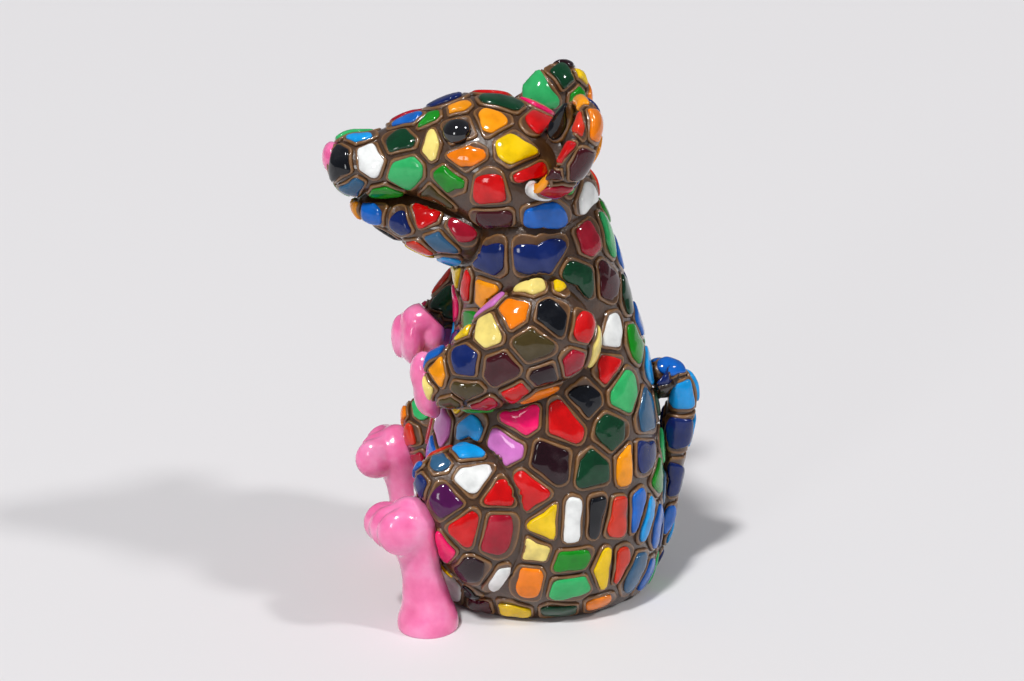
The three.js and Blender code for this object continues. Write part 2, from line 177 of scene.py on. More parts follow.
class EarSkin(Skin):
    """A shallow cup: a wall profile carried round an upright ellipse, from the middle of the back (along 0)
    over the rim to the middle of the hollow (along 1)."""

    def __init__(self, hand):
        self.hand, self.reach, self.grid = hand, 0.65, (56, 60)
        self.middle, self.turn, self.tip = EARS[hand]
        floor, rim = EAR_WALL - EAR_DEPTH, EAR_WALL / 2
        legs = [[(0, -EAR_DEPTH), (.75, -EAR_DEPTH), (1, -EAR_DEPTH / 2), (1, 0)],
                [(1, 0), (1, rim * .7), (.95, rim), (.86, rim)],
                [(.86, rim), (.79, rim), (.75, rim * .7), (.74, 0)],
                [(.74, 0), (.66, floor * .8), (.4, floor), (0, floor)]]
        t = np.linspace(0, 1, 30)[:, None]
        bend = [a * (1 - t) ** 3 + 3 * b * t * (1 - t) ** 2 + 3 * c * t * t * (1 - t) + d * t ** 3
                for a, b, c, d in (np.array(leg, float) for leg in legs)]
        self.line = np.vstack(bend) * [8.0, 1.0]
        step = np.r_[0, np.cumsum(np.linalg.norm(np.diff(self.line, axis=0), axis=1))]
        self.share = step / step[-1]

    def at(self, turn, along, grow=0.0):
        turn, along, grow = np.broadcast_arrays(*(np.asarray(v, float) for v in (turn, along, grow)))
        here = [np.interp(along, self.share, self.line[:, k]) for k in (0, 1)]
        ahead = [np.interp(np.clip(along + 0.004, 0, 1), self.share, self.line[:, k]) for k in (0, 1)]
        back = [np.interp(np.clip(along - 0.004, 0, 1), self.share, self.line[:, k]) for k in (0, 1)]
        slope = unit(np.stack([ahead[1] - back[1], back[0] - ahead[0]], -1))
        wide, deep = here[0] + grow * slope[..., 0], here[1] + grow * slope[..., 1]
        p = np.stack([wide * np.cos(turn) * EAR_WIDTH / 16, deep, wide * np.sin(turn) * EAR_HEIGHT / 16], -1)
        p = turned(p, -self.hand * (90 + self.turn), 0 * NECK)
        c, s = math.cos(math.radians(self.tip)), math.sin(math.radians(self.tip))
        p = p @ np.array([[1, 0, 0], [0, c, s], [0, -s, c]]).T
        return turned(p + np.array(self.middle), -HEAD_TURN)


# ---------------------------------------------------------------- the skins of the figure
TORSO_RINGS = [
    (-.09, 3.2, .74, .64), (0, 3.4, .9, .78), (.09, 3.8, .985, .96), (.21, 4.2, 1, 1), (.34, 4.6, .97, .98),
    (.46, 4.9, .9, .9), (.59, 4.9, .8, .79), (.71, 4, .71, .71), (.82, 2.8, .66, .69), (.92, 1.8, .6, .64),
    (1, 1, .45, .48)]
HEAD_RINGS = [
    (0, -4.4, .8, .68), (.15, -4, .96, .72), (.32, -.4, 1, .95), (.49, 2, .87, .88), (.66, 2.2, .66, .6),
    (.82, 1.1, .52, .45), (1, 1, .42, .42)]
TAIL_RINGS = [
    (17, -2, 1.15), (21.4, 3.5, 1.12), (24, 10, 1.02), (25.2, 18, .96), (26.4, 26, 1.06), (26.8, 32.5, 1.1),
    (24, 35.6, 1), (21.4, 33.4, .9)]


def arm(hand):
    return Skin([[hand * 9, 8.5, 51.6, 6, ARM * .4], [hand * 12.2, 4.5, 49.2, 6.8, ARM * .5],
                 [hand * 13.8, -1, 46.2, 6.6, ARM * .49], [hand * 13, -7, 42.6, 5.6, ARM * .4],
                 [hand * 11, -11.5, 40.6, 4.8, WRIST * .6], [hand * 9, -15, 39.6, 4, WRIST * .5]],
                (.2, .1), reach=.8, grid=(52, 46))


def leg(hand):
    return Skin([[hand * 7, 4, 15, 9, LEG * .5], [hand * 10.6, -4, 16.5, 9, LEG * .53],
                 [hand * 12.8, -11, 17, 7.4, LEG * .47], [hand * 14, -16.4, 15.6, 5, LEG * .37]],
                (.3, .2), reach=.9, grid=(64, 40))


def hand_skin(hand):
    y, z = (-13.2, 37.6) if hand > 0 else (-14.6, 41)
    lobes = {
        1: [((7.6, -15.6, 40.4), (2.3, 2.2, 3.4)), ((7.4, -15.2, 36.6), (2.0, 1.9, 3.2))],
        -1: [((-6.0, -14.6, 44.4), (3.0, 3.4, 2.6)), ((-4.6, -12.9, 42.4), (1.9, 1.8, 2.9)),
             ((-4.6, -16.2, 41.4), (1.9, 1.8, 3.3)), ((-7.6, -18.2, 41.0), (2.0, 1.5, 3.6))],
    }[hand]
    return Lobed([[hand * 7.4, y + 1, z + 4.4, 3, 2.4], [hand * 7.2, y - 1.2, z + 2, 3.6, 2.6],
                  [hand * 7, y - 1.8, z - 1.6, 3.4, 2], [hand * 7, y - .4, z - 5, 2.6, 1.5]],
                 (.3, .3), lobes, melt=.2, grid=(30, 30))


def foot(hand):
    height, wide = FOOT_HEIGHT, FOOT_WIDTH
    rows = [(-16.1, -.2, .5, 4.2), (-16.1, .04, .55, 4.9), (-16.3, .2, .47, 4.0), (-17, .42, .4, 3.2),
            (-17.6, .6, .42, 3.5), (-18.6, .82, .5, 4.3), (-18.9, 1, .42, 3.6)]
    lobes = [((hand * (FOOT_SIDE + out), y, up * height), (TOE * .62, TOE * size, TOE * size * 1.02))
             for out, y, up, size in ((2.7, -20.2, .79, 1.04), (.2, -21.4, .78, 1), (-2.1, -22.4, .775, .95))]
    return Lobed([[hand * FOOT_SIDE, y, up * height, w * wide, deep] for y, up, w, deep in rows],
                 (.16, .2), lobes, melt=.22, grid=(40, 40))


SKINS = {
    "torso": Skin([[0, back, up * BODY_HEIGHT, w * BODY_WIDTH / 2, d * BODY_DEPTH / 2]
                   for up, back, d, w in TORSO_RINGS], (.08, .06), reach=1.2, grid=(100, 80)),
    "head": Skin([[0, SKULL_BACK - f * HEAD_LENGTH, HEAD_LIFT + lift, w * HEAD_WIDTH / 2, h * HEAD_HEIGHT / 2]
                  for f, lift, w, h in HEAD_RINGS], (.22, .1), head=True, reach=.95, grid=(72, 60)),
    "lower_jaw": Skin([[0, -1, HEAD_LIFT - 9, 10, 6.6], [0, -8, HEAD_LIFT - 8.2, 10.4, 6.8],
                       [0, -15, HEAD_LIFT - 7, 8.8, 5.6], [0, -21, HEAD_LIFT - 6, 5.6, 3.4],
                       [0, -26, HEAD_LIFT - 5, 3.4, 2.1]], (.2, .14), head=True, reach=.8, grid=(44, 40)),
    "left_arm": arm(1), "right_arm": arm(-1), "left_leg": leg(1), "right_leg": leg(-1),
    "tail": Skin([[0, back, up, t * TAIL / 2, t * TAIL / 2] for back, up, t in TAIL_RINGS], (.1, .12),
                 reach=.6, grid=(32, 90)),
    "left_ear": EarSkin(1), "right_ear": EarSkin(-1),
    "left_hand": hand_skin(1), "right_hand": hand_skin(-1), "left_foot": foot(1), "right_foot": foot(-1),
}
for skin in SKINS.values():
    skin.spread()

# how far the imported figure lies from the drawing's own axes
own = SKINS["torso"].at(np.arange(30) * math.pi / 15,
                        (1 - np.cos(np.arange(23)[:, None] * np.pi / 22)) / 2, -1.2)
low, high = (np.array(corner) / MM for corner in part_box("torso"))
SHIFT = (low + high) / 2 - (own.reshape(-1, 3).min(0) + own.reshape(-1, 3).max(0)) / 2
SHIFT[2] = 0.0

# ---------------------------------------------------------------- the mosaic plan
# [colour, turn in degrees, share along the skin, half across, half along, lean in degrees, taper]; lean turns
# the tile anticlockwise, taper above 0 narrows its far end, under 0 its near end.
PLAN = {
    "torso": [
        ("navy", -40, .86, 3.3, 2.1, 6, -.5), ("navy", -2, .855, 3.9, 2.4, 0, -.5),
        ("crimson", 40, .87, 1.9, 2.7, 12, 0), ("maroon", 47, .77, 2.1, 3.4, 10, .5),
        ("red", 27, .7, 1.3, 3.4, -24, .3), ("white", 39, .67, 1.9, 3.1, -16, .1),
        ("green", 61, .63, 2, 3.5, 5, 0), ("red", 30, .61, 1.8, 2.9, -28, -.5),
        ("leaf", 39, .57, 2.7, 3.4, -10, .2), ("black", 13, .57, 2.4, 2.4, 12, 0),
        ("rose", -22, .54, 3.1, 2.5, -16, -.4), ("red", 1, .54, 3, 3.3, 18, 0),
        ("forest", 27, .51, 2.3, 3.3, 5, -.3), ("forest", 15, .46, 2.6, 3.3, -8, .8),
        ("amber", 34, .46, 1.3, 4.6, -8, .6), ("plum", -6, .47, 3.2, 3.4, 0, 0),
        ("mauve", -29, .48, 3.2, 3, -8, -.7), ("red", -16, .41, 3.2, 3, 8, 0),
        ("yellow", -6, .36, 2.2, 3.4, -20, .6), ("white", 5, .36, 1.7, 4.6, 2, .15),
        ("black", 17, .36, 1.5, 4, 0, 0), ("coral", 29, .35, 2.1, 3.5, 0, -.2),
        ("cream", -12, .3, 2.9, 1.8, -8, 0), ("green", 6, .28, 3, 1.9, 18, 0),
        ("leaf", 7, .22, 3.5, 1.8, 12, 0), ("yellow", 22, .25, 1.6, 4.1, -10, 0),
        ("orange", -12, .23, 1.9, 2.6, -4, 0), ("yellow", -77, .82, 2.2, 3.4, 0, 0),
        ("red", -65, .8, 1.4, 2.8, 10, 0), ("amber", -44, .785, 2.4, 2.4, 0, 0),
        ("leaf", 69, .85, 1.7, 3.8, 0, 0), ("forest", 70, .71, 1.8, 3.8, 0, 0),
        ("slate", 57, .52, 2.3, 4, -4, 0), ("navy", 51, .45, 2.4, 2.7, 0, 0),
        ("blue", 41, .35, 1.6, 3.3, -12, 0), ("cyan", 51, .33, 1.4, 5, -14, 0),
        ("coral", 32, .25, 1.4, 3.2, -6, 0), ("slate", 44, .22, 2.2, 3.8, -8, 0),
        ("maroon", -37, .12, 2.2, 1.7, 0, 0), ("yellow", -19, .125, 2.6, 1.2, 0, 0),
        ("forest", 4, .135, 2.8, 1.2, 0, 0), ("orange", 23, .16, 2.2, 1.3, 25, 0),
        ("mauve", -74, .48, 2.4, 3.2, -20, 0), ("cyan", -50, .5, 2.7, 2.6, -30, .3),
        ("blue", -81, .41, 2, 2.6, 0, 0), ("cyan", 75, .58, 2, 3, 0, 0), ("blue", 64, .29, 2, 4, -6, 0),
        ("blue", 58, .19, 1.8, 3, 0, 0)],
    "head": [
        ("white", 24, .835, 3.1, 1.9, 26, 0), ("forest", 42, .705, 1.9, 2.2, 6, 0),
        ("leaf", -4, .7, 3, 2.7, 10, 0), ("orange", 19, .5, 1.5, 3.6, 4, -.3),
        ("yellow", 34, .365, 2, 3.5, -4, 0), ("red", -2, .4, 2.1, 2.8, 24, 0),
        ("maroon", -26, .335, 2.2, 3.1, 16, 0), ("blue", -10, .2, 3.4, 3.6, 0, 0),
        ("black", 12, .95, 4.3, 2.7, -10, 0), ("cyan", 71, .88, 1.3, 1.6, 0, 0),
        ("slate", -28, .905, 2, 2.2, 0, 0), ("blue", 78, .68, 1.2, 2.6, 0, 0),
        ("navy", 100, .58, 2.4, 2.8, 0, 0), ("green", 62, .62, .9, 2.8, 16, .3),
        ("cream", 28, .6, 2.6, 1.4, -8, 0), ("amber", 66, .54, 1, 2.2, 30, 0),
        ("amber", 53, .455, 1.9, 2.1, -20, 0), ("eye", 40, .53, 2.3, 2.5, 0, 0),
        ("green", -4, .54, 1.6, 3, 6, -.5), ("forest", 80, .44, 1.9, 3.4, 0, 0),
        ("olive", -28, .6, 1.3, 3, 0, 0), ("red", 20, .3, 2.7, 2.8, 20, 0),
        ("nose", 60, .998, 2, 2, 0, 0)],
    "lower_jaw": [
        ("red", 30, .46, 2.8, 2.6, -20, 0), ("crimson", 23, .26, 2.5, 3, 10, 0),
        ("blue", -3, .84, 1.9, 1.9, -30, 0), ("navy", 0, .61, 1.7, 1.9, -20, 0),
        ("slate", -11, .37, 1.7, 2.9, -20, 0), ("coral", -42, .47, 1.5, 2.4, 0, 0)],
    "left_arm": [
        ("orange", 52, .36, 2.8, 2.3, 0, 0), ("cream", 55, .47, 3.2, 2.4, 0, 0),
        ("black", 24, .27, 2.9, 2.4, 0, 0), ("olive", 14, .36, 2.6, 2.9, 0, 0),
        ("navy", 34, .61, 2.9, 2.2, 0, 0), ("maroon", 8, .5, 2.7, 2.7, 0, 0),
        ("yellow", 52, .12, .9, 3.4, 0, 0), ("olive", 34, .05, 2.4, 2.4, 0, 0),
        ("yellow", 80, .57, .8, 2.6, 0, 0), ("amber", 32, .81, 3, 1.2, 0, 0),
        ("cream", 9, .93, 2.2, 1.1, 0, 0), ("olive", -3, .66, 1.8, 2.5, 0, 0),
        ("plum", -27, .39, 1.7, 2.2, 0, 0), ("red", -32, .5, 1.8, 2.2, 0, 0),
        ("crimson", -37, .64, 1.2, 2.6, 0, 0), ("olive", -27, .79, 1.4, 1.8, 0, 0),
        ("red", -7, .17, 2, 2.3, 0, 0), ("crimson", -32, .27, 1.8, 2, 0, 0)],
    "right_arm": [
        ("orange", 118, .3, 2.6, 2.4, 0, 0), ("coral", 110, .62, 2, 2.4, 0, 0)],
    "left_leg": [
        ("white", 47, .62, 2.2, 2.7, 14, .1), ("purple", 31, .78, 2.6, 2.3, 20, 0),
        ("red", 8, .72, 3, 2.3, -20, 0), ("crimson", 4, .52, 3.7, 2.2, -6, 0),
        ("white", -34, .41, 2.6, 1.8, 0, 0), ("red", 31, .5, 2, 2.4, 0, 0),
        ("plum", -30, .76, 2.4, 2.3, 0, 0), ("slate", 76, .73, 1.6, 1.4, 0, 0),
        ("navy", 81, .91, 2.2, 1.7, 0, 0), ("blue", 104, .86, 2.6, 1.4, 0, 0)],
    "right_leg": [
        ("leaf", 64, .73, 2, 1.6, 0, 0), ("coral", 45, .88, 2.6, 1.6, 0, 0),
        ("orange", 75, .9, 1.6, 2, 0, 0), ("crimson", 10, .86, 3, 1.4, 0, 0),
        ("amber", -16, .86, 1.8, 1.2, 0, 0)],
    "tail": [
        ("blue", 67, .84, 2.4, 2.4, 0, 0), ("cyan", 1, .72, 2.6, 2.6, 0, 0),
        ("navy", 2, .57, 2.6, 2.6, 0, 0), ("navy", 6, .42, 2.6, 2.8, 0, 0),
        ("blue", 4, .29, 2.4, 2.6, 0, 0), ("blue", 4, .15, 2.2, 2.8, 0, 0)],
    "left_ear": [
        ("orange", 120, .41, 4, 2.3, 0, 0), ("maroon", 178, .37, 3.8, 2.8, 0, 0),
        ("coral", 130, .55, 4, 1.1, 0, 0), ("red", 176, .57, 4, 1.3, 0, 0),
        ("maroon", -166, .52, 2.6, 1.3, 0, 0), ("crimson", -142, .4, 2.6, 2.2, 0, 0),
        ("red", -60, .62, 2.6, 2, 0, 0), ("amber", 92, .57, 2.6, 1.3, 0, 0)],
    "right_ear": [
        ("leaf", 165, .4, 4.6, 4.2, 0, 0), ("black", -150, .15, 1.8, 2.4, 0, 0),
        ("forest", 110, .37, 2.6, 2.2, 0, 0), ("yellow", 76, .4, 2.4, 2, 0, 0),
        ("green", 84, .2, 1.6, 2.8, 0, 0)],
}
FILL = {
    "back": ["blue", "navy", "cyan", "forest", "slate", "leaf", "green"],
    "any": ["red", "crimson", "yellow", "green", "blue", "white", "orange", "forest", "maroon", "amber",
            "black", "cyan", "leaf", "rose", "plum", "navy", "cream", "coral", "mauve"],
    "tail": ["blue", "navy", "cyan"],
}
BLANK = ("eye", "nose")     # places on the plan with a cushion but no enamel


class Tile:
    """One place on the plan: its spot on the skin, the normal there and two axes in the tangent plane."""

    def __init__(self, skin, colour, spot, normal, across, wide, long, lean=0.0, taper=0.0):
        self.skin, self.colour, self.spot, self.normal = skin, colour, spot, normal
        self.across = unit(across - normal * (across @ normal))
        self.onward = np.cross(normal, self.across)
        self.wide, self.long, self.lean, self.taper = wide, long, math.radians(lean), taper
        self.phase = RNG.uniform(0, 2 * math.pi, 4)


def planned(name):
    skin, made = SKINS[name], []
    for colour, turn, along, wide, long, lean, taper in PLAN[name]:
        here = skin.at(math.radians(turn), along)
        k = np.argmin(np.linalg.norm(skin.points - here, axis=1))
        made.append(Tile(name, colour, here, skin.normals[k], skin.across[k], wide, long, lean, taper))
    return made


def clearance(spots, own_name, centre, within=11.0):
    """Least signed distance from each spot to the other skins, positive outside. The sign is the side of the
    plane at the nearest point of each skin."""
    best = np.full(len(spots), 9.0)
    for name, skin in SKINS.items():
        close = skin.near(centre, within) if name != own_name else None
        if close is None or not close.any():
            continue
        points, normals = skin.points[close], skin.normals[close]
        k = np.argmin((points ** 2).sum(1) - 2 * spots @ points.T, axis=1)
        flat = ((spots - points[k]) * normals[k]).sum(-1)
        far = np.linalg.norm(spots - points[k], axis=-1)
        best = np.minimum(best, np.where(flat > 0, far, -far))
    return best


def open_ground(name):
    """Which of a skin's own points lie outside every other skin."""
    skin = SKINS[name]
    free = np.ones(len(skin.points), bool)
    for other, wall in SKINS.items():
        if other == name:
            continue
        lo, hi = wall.points.min(0) - 1.2, wall.points.max(0) + 1.2
        ask = np.flatnonzero(free & ((skin.points > lo) & (skin.points < hi)).all(1))
        for part in np.array_split(ask, max(1, len(ask) // 400)):
            spots = skin.points[part]
            k = np.argmin((wall.points ** 2).sum(1) - 2 * spots @ wall.points.T, axis=1)
            near = spots - wall.points[k]
            flat = (near * wall.normals[k]).sum(-1)
            free[part] = (flat > 0) & (np.linalg.norm(near, axis=-1) > .6)
    return free


def fill(name, made, hole):
    """Adds tiles where the plan has none, each in the middle of the widest bare patch and sized to it."""
    skin = SKINS[name]
    free = np.flatnonzero(open_ground(name) & (skin.points[:, 2] > 1.6))
    points = skin.points[free]
    bare = np.full(len(points), 99.0)

    def cover(tile):
        away = points - tile.spot
        angle = np.arctan2(away @ tile.onward, away @ tile.across)
        apart = np.linalg.norm(away, axis=1) - support(tile, angle, .65)
        return np.where(skin.normals[free] @ tile.normal > -.2, apart, 99.0)

    for tile in made:
        bare = np.minimum(bare, cover(tile))
    while len(points) and bare.max() > hole:
        k = int(np.argmax(bare))
        normal = skin.normals[free[k]]
        kind = "tail" if name == "tail" else "back" if name == "torso" and normal[1] > .6 else "any"
        near = sorted(made, key=lambda t: np.linalg.norm(t.spot - points[k]))[:5]
        pool = [c for c in FILL[kind] if c not in [t.colour for t in near]] or FILL[kind]
        colour = pool[int(RNG.integers(len(pool)))]
        size = min(bare[k] + .5, 3.1)
        wide, long = size * RNG.uniform(.8, 1.15, 2)
        lean = RNG.uniform(-30, 30)
        made.append(Tile(name, colour, points[k], normal, skin.across[free[k]], wide, long, lean))
        bare = np.minimum(bare, cover(made[-1]))
    return made


def walk(tile, far):
    """Spokes that follow the skin: each takes equal steps in its own direction and is pulled back after each
    one onto the mean of the tangent planes near by, weighted by exp(-(distance / reach) squared)."""
    skin = SKINS[tile.skin]
    close = skin.near(tile.spot, far.max() + 2.2)
    points, normals = skin.points[close], skin.normals[close]
    rest, size = (points * normals).sum(1), (points ** 2).sum(1)
    ray = np.cos(ANGLE)[:, None] * tile.across + np.sin(ANGLE)[:, None] * tile.onward
    spots = np.repeat(tile.spot[None], len(ANGLE), 0)
    normal = np.repeat(tile.normal[None], len(ANGLE), 0)
    trail, upright = [], []
    for step in range(STEPS + 1):
        far_off = (spots ** 2).sum(1)[:, None] + size - 2 * spots @ points.T
        weight = np.exp(-(far_off - far_off.min(1, keepdims=True)) / skin.reach ** 2)
        weight = weight * np.clip(normal @ normals.T, 0, 1) ** 2 + 1e-12
        lift = (weight * (rest - spots @ normals.T)).sum(1) / weight.sum(1)
        normal = unit(weight @ normals)
        spots = spots + normal * lift[:, None]
        trail.append(spots)
        upright.append(normal)
        ray = unit(ray - normal * (ray * normal).sum(1, keepdims=True))
        spots = spots + ray * (far / STEPS)[:, None]
    return np.array(trail), np.array(upright)


def support(tile, angle, extra):
    """Radius of the tile's rounded oval at an angle: a superellipse of power 2.6, leaning and tapering."""
    a = angle - tile.lean
    c, s = np.cos(a), np.sin(a)
    oval = (np.abs(c / (tile.wide + extra)) ** 2.6 + np.abs(s / (tile.long + extra)) ** 2.6) ** (-1 / 2.6)
    return oval * (1 - tile.taper * s * np.abs(c))


def bounds_of(tile, tiles):
    """Lines between the tile and its neighbours: direction angles and distances along the skin."""
    rows = []
    for other in tiles:
        away = other.spot - tile.spot
        far = np.linalg.norm(away)
        if other is tile or far > 15 or other.normal @ tile.normal < -.4:
            continue
        bend = math.acos(max(-1, min(1, other.normal @ tile.normal))) / 2 + 1e-4
        turn = math.atan2(away @ tile.onward, away @ tile.across)
        back = math.atan2(-away @ other.onward, -away @ other.across)
        mine = float(support(tile, np.array(turn), RIM))
        theirs = float(support(other, np.array(back), RIM))
        rows.append((turn, far * bend / math.sin(bend) * mine / (mine + theirs)))
    return np.array(rows or [(0.0, 99.0)])


def least(values, sharp):
    """Soft least of several positive lengths: the power mean with exponent -sharp."""
    return (np.sum(np.maximum(values, 1e-3) ** -float(sharp), axis=0)) ** (-1 / sharp)


def outlines(tile, tiles):
    """The spokes walked from the tile, and the radius of the cushion and of the enamel on each."""
    walls = bounds_of(tile, tiles)
    lean = np.cos(ANGLE[None] - walls[:, :1])

    def toward(inset):
        return np.where(lean > .05, np.maximum(walls[:, 1:] - inset, .2) / np.maximum(lean, .05), 99)

    cushion = least(np.vstack([toward(GROOVE), support(tile, ANGLE, 1.9)[None]]), 30)
    enamel = least(np.vstack([toward(GROOVE + RIM), support(tile, ANGLE, .4)[None]]), 18)
    p = tile.phase
    enamel = enamel * (1 + .05 * np.sin(2 * ANGLE + p[0]) + .045 * np.sin(3 * ANGLE + p[1])
                       + .02 * np.sin(5 * ANGLE + p[2]))
    trail, upright = walk(tile, cushion)
    spots = trail.transpose(1, 0, 2)
    room = clearance(spots.reshape(-1, 3), tile.skin, tile.spot).reshape(len(ANGLE), -1) - .25
    room = np.minimum(room, (spots[..., 2] - .1) * 2)
    room[:, 0] = np.maximum(room[:, 0], .05)
    stop = np.argmax(room < 0, axis=1)
    rows = np.arange(len(ANGLE))
    before, after = room[rows, np.maximum(stop - 1, 0)], room[rows, stop]
    cross = (stop - 1 + before / np.maximum(before - after, 1e-6)) / STEPS
    limit = cushion * np.where(room.min(1) < 0, np.clip(cross, .05, 1), 1)
    for _ in range(2):
        limit = np.minimum(limit, (np.roll(limit, 1) + np.roll(limit, -1)) / 2 + .12)
    edge = np.minimum(cushion, limit)
    return (trail, upright, cushion), edge, least(np.vstack([enamel, np.maximum(limit - RIM, .15)]), 20)


def lay(spokes, radius, height):
    """Points at radius[ring, spoke] along the walked spokes, raised by height[ring, spoke] off the skin."""
    trail, upright, far = spokes
    x = np.clip(radius / far, 0, 1) * STEPS
    i = np.clip(x.astype(int), 0, STEPS - 1)
    w = (x - i)[..., None]
    k = np.arange(len(ANGLE))[None]
    spots = trail[i, k] * (1 - w) + trail[i + 1, k] * w
    return spots + unit(upright[i, k] * (1 - w) + upright[i + 1, k] * w) * height[..., None]


class Heap:
    """Meshes gathered into one piece: vertices, faces and each vertex's share of painted light, from painted shade
    in a groove at 0 to painted light on a rim top at 1.
    """

    def __init__(self):
        self.points, self.faces, self.crest, self.count = [], [], [], 0

    def add(self, points, faces, crest):
        self.points.append(points)
        self.faces.append(faces + self.count)
        self.crest.append(crest)
        self.count += len(points)


def fan(rings, spokes):
    """Faces of a polar grid, outermost ring first, closed by a middle point on top and one below."""
    k = np.arange(spokes)
    n = (k + 1) % spokes
    quads = [np.stack([r * spokes + k, r * spokes + n, (r + 1) * spokes + n, (r + 1) * spokes + k], 1)
             for r in range(rings - 1)]
    quads = np.vstack(quads)
    last = (rings - 1) * spokes
    top = np.stack([last + k, last + n, np.full(spokes, rings * spokes), np.full(spokes, rings * spokes)], 1)
    bottom = np.stack([n, k, np.full(spokes, rings * spokes + 1), np.full(spokes, rings * spokes + 1)], 1)
    return np.vstack([quads, top, bottom])


def cushion_mesh(tile, spokes, edge):
    """A plaster cushion: steep sides, a rounded rim at CREST, and a shallow dish under the enamel."""
    insets = np.array([0, .03, .09, .2, .34, .52, .75])
    levels = np.array([-1.5, -.95, -.66, -.45, CREST, CREST + .01, CREST - .06])
    # share of painted light on each ring, from painted shade low on the sides to painted light on the rim
    crest = np.array([0, .1, .45, .9, 1, .8, .5])
    wave = .05 * np.sin(2 * ANGLE + tile.phase[3]) + .03 * np.sin(5 * ANGLE + tile.phase[0])
    radius = np.maximum(edge[None] - insets[:, None], edge[None] * np.linspace(.3, .12, 7)[:, None])
    radius = np.vstack([radius, radius[-1:] * .5])
    levels, crest = np.r_[levels, CREST - .1], np.r_[crest, .45]
    height = levels[:, None] + wave[None] * np.r_[0, 0, .5, 1, 1, .8, .4, 0][:, None]
    grid = lay(spokes, radius, height)
    ends = spokes[0][0, 0] + tile.normal * (CREST - .1), tile.spot - tile.normal * 1.5
    points = np.vstack([grid.reshape(-1, 3), ends])
    return points, fan(len(levels), SPOKES), np.r_[np.repeat(crest, SPOKES), .45, 0]


def enamel_mesh(tile, spokes, edge):
    """A poured enamel tile: an upright edge, a rounded shoulder and a low dome with a slow wave in it."""
    insets = np.array([0, 0, .05, .14, .3, .55])
    levels = np.array([-.55, -.3, -.17, -.08, -.01, .05])
    radius = np.maximum(edge[None] - insets[:, None], edge[None] * np.linspace(.9, .72, 6)[:, None])
    radius = np.vstack([radius, radius[-1:] * .68, radius[-1:] * .34])
    levels = np.r_[levels, .1, .12]
    wave = .045 * np.sin(ANGLE + tile.phase[1]) + .025 * np.sin(3 * ANGLE + tile.phase[2])
    height = levels[:, None] + wave[None] * np.r_[0, 0, .3, .6, 1, 1, .6, .3][:, None]
    grid = lay(spokes, radius, height)
    ends = spokes[0][0, 0] + tile.normal * .125, tile.spot - tile.normal * .7
    points = np.vstack([grid.reshape(-1, 3), ends])
    return points, fan(len(levels), SPOKES), np.zeros(len(points))


def shell(skin, grow, around, rings):
    """The whole skin as one closed surface, with its two poles as single points."""
    turn = np.arange(around) * 2 * np.pi / around
    along = (1 - np.cos(np.arange(1, rings) * np.pi / rings)) / 2
    grid = skin.at(turn[None], along[:, None], grow)
    ends = skin.at(0.0, 1.0, grow), skin.at(0.0, 0.0, grow)
    points = np.vstack([grid.reshape(-1, 3), ends])
    points[:, 2] = np.maximum(points[:, 2], 0.0)
    return points, fan(rings - 1, around)


# ---------------------------------------------------------------- materials
ENAMELS = {
    "navy": "#08205f", "blue": "#0862c0", "crimson": "#a50c28", "maroon": "#400914", "red": "#cc0407",
    "white": "#eef0ee", "green": "#0b8614", "leaf": "#2fae62", "black": "#070a12", "rose": "#f20f66",
    "forest": "#043a20", "amber": "#f99a08", "plum": "#20050f", "mauve": "#cf74c2", "yellow": "#f2c800",
    "coral": "#cf3018", "cream": "#f4dd7c", "orange": "#ef7d02", "olive": "#45391a", "cyan": "#0f97e0",
    "slate": "#2c587a", "purple": "#4b0c48",
}


def linear(colour):
    """Screen colour in hex to linear light."""
    parts = [int(colour[i:i + 2], 16) / 255 for i in (1, 3, 5)]
    return tuple(c / 12.92 if c < .04045 else ((c + .055) / 1.055) ** 2.4 for c in parts) + (1.0,)


def material(name, **settings):
    made = bpy.data.materials.new(name)
    made.use_nodes = True
    shader = made.node_tree.nodes["Principled BSDF"]
    for socket, value in settings.items():
        shader.inputs[socket.replace("_", " ")].default_value = value
    return made, made.node_tree, shader


def noise(tree, scale, detail=3.0, rough=.5):
    place = tree.nodes.new("ShaderNodeTexCoord")
    made = tree.nodes.new("ShaderNodeTexNoise")
    made.inputs["Scale"].default_value = scale
    made.inputs["Detail"].default_value = detail
    made.inputs["Roughness"].default_value = rough
    tree.links.new(place.outputs["Object"], made.inputs["Vector"])
    return made.outputs["Fac"]


def ramp(tree, source, stops):
    made = tree.nodes.new("ShaderNodeValToRGB")
    bars = made.color_ramp.elements
    while len(bars) < len(stops):
        bars.new(.5)
    for bar, (place, colour) in zip(bars, stops):
        bar.position, bar.color = place, colour
    tree.links.new(source, made.inputs["Fac"])
    return made.outputs["Color"]


def bump(tree, shader, source, strength, distance):
    made = tree.nodes.new("ShaderNodeBump")
    made.inputs["Strength"].default_value = strength
    made.inputs["Distance"].default_value = distance
    tree.links.new(source, made.inputs["Height"])
    tree.links.new(made.outputs["Normal"], shader.inputs["Normal"])


def shaded(colour, factor, lift=0.0):
    return tuple(min(1.0, c * factor + lift) for c in colour[:3]) + (1.0,)


def enamel_finish(name, colour):
    made, tree, shader = material(name, Roughness=.1, Specular_IOR_Level=.36, Coat_Weight=.4,
                                  Coat_Roughness=.015, IOR=1.45)
    base = linear(colour)
    cloud = noise(tree, 330, 3)
    tint = ramp(tree, cloud, [(.3, shaded(base, .78)), (.5, base), (.72, shaded(base, 1.12, .012))])
    tree.links.new(tint, shader.inputs["Base Color"])
    bump(tree, shader, noise(tree, 520, 2), .35, .00012)
    return made


